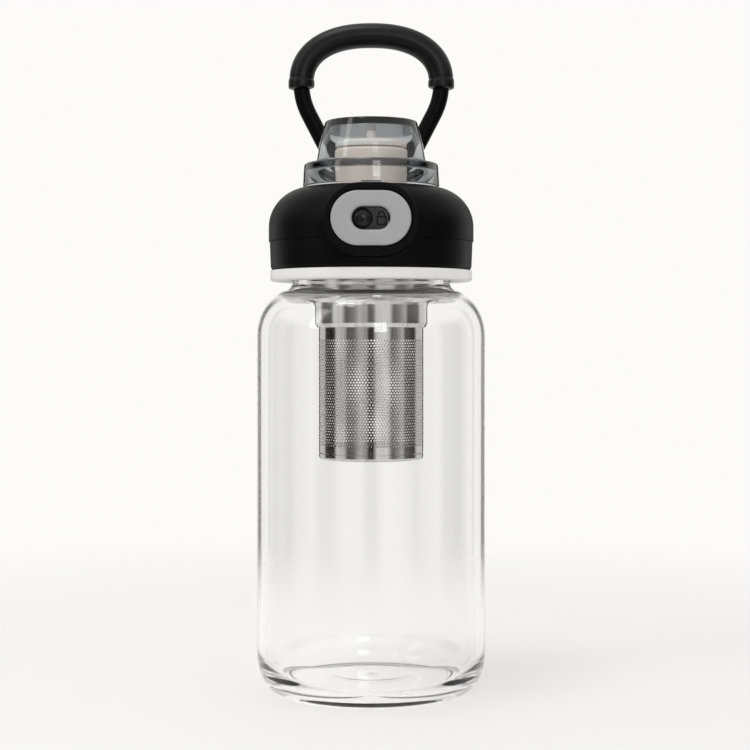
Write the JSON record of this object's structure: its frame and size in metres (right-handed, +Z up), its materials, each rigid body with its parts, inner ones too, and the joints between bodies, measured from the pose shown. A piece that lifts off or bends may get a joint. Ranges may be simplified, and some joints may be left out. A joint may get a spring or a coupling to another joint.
{
  "type": "tea infuser bottle",
  "caption": "Clear glass tea bottle with a perforated steel infuser in its neck and a screw-on flip lid with a carry handle.",
  "frame": {"origin": "centre of the base, on the surface that the bottle stands on", "axes": "+Z up along the bottle, -Y towards the release button, +Y towards the hinge and the carry handle"},
  "size_m": [0.095, 0.095, 0.2824],
  "materials": {
    "clear_glass": "clear, polished",
    "polished_steel": "polished stainless steel",
    "spring_steel": "plain spring steel",
    "silicone": "translucent silicone",
    "seal_silicone": "pale silicone",
    "white_plastic": "satin",
    "cream_plastic": "satin gloss",
    "matte_black": "fine satin texture",
    "grip_rubber": "soft-touch satin",
    "grey_plastic": "satin",
    "gloss_black": "polished",
    "smoky_plastic": "clear smoke tint, polished"
  },
  "bodies": {
    "bottle": {"glass_bottle": "clear_glass", "infuser_collar": "polished_steel", "infuser_sleeve": "polished_steel", "infuser_base": "polished_steel", "infuser_gasket": "silicone"},
    "seal_ring": {"lid_gasket": "silicone"},
    "lid": {"inner_cap": "white_plastic", "lid_band": "matte_black", "lid_shell": "matte_black", "button_bezel": "matte_black", "spout": "cream_plastic", "spout_seal": "seal_silicone", "cap_spring": "spring_steel", "button_spring_right": "spring_steel", "button_spring_left": "spring_steel"},
    "cap": {"flip_cap": "smoky_plastic", "cap_seal": "seal_silicone", "hinge_pin": "polished_steel"},
    "carry_handle": {"handle": "matte_black", "handle_grip": "grip_rubber"},
    "button": {"release_button": "grey_plastic", "latch_slide": "spring_steel"},
    "lock": {"lock_slider": "gloss_black"}
  },
  "joints": [
    {"name": "lid_rise", "type": "slide", "parent": "bottle", "child": "seal_ring", "axis": [0, 0, 1], "range_m": [0, 0.0057]},
    {"name": "lid_turn", "type": "hinge", "parent": "seal_ring", "child": "lid", "pos_m": [0, 0, 0.1915], "axis": [0, 0, 1], "range_deg": [0, 450]},
    {"name": "cap_open", "type": "hinge", "parent": "lid", "child": "cap", "pos_m": [0, 0.032, 0.212], "axis": [1, 0, 0], "range_deg": [-110, 0], "deforming": ["cap_spring"]},
    {"name": "handle_fold", "type": "hinge", "parent": "cap", "child": "carry_handle", "pos_m": [0, 0.032, 0.212], "axis": [-1, 0, 0], "range_deg": [0, 120]},
    {"name": "button_press", "type": "slide", "parent": "lid", "child": "button", "axis": [0, 1, 0], "range_m": [0, 0.0022], "stiffness_N_per_m": 600, "deforming": ["button_spring_right", "button_spring_left"]},
    {"name": "lock_slide", "type": "slide", "parent": "button", "child": "lock", "axis": [-1, 0, 0], "range_m": [-0.0067, 0]}
  ],
  "couplings": [
    {"joint": "lid_rise", "follows": "lid_turn", "m_per_rad": 0.0007162}
  ]
}
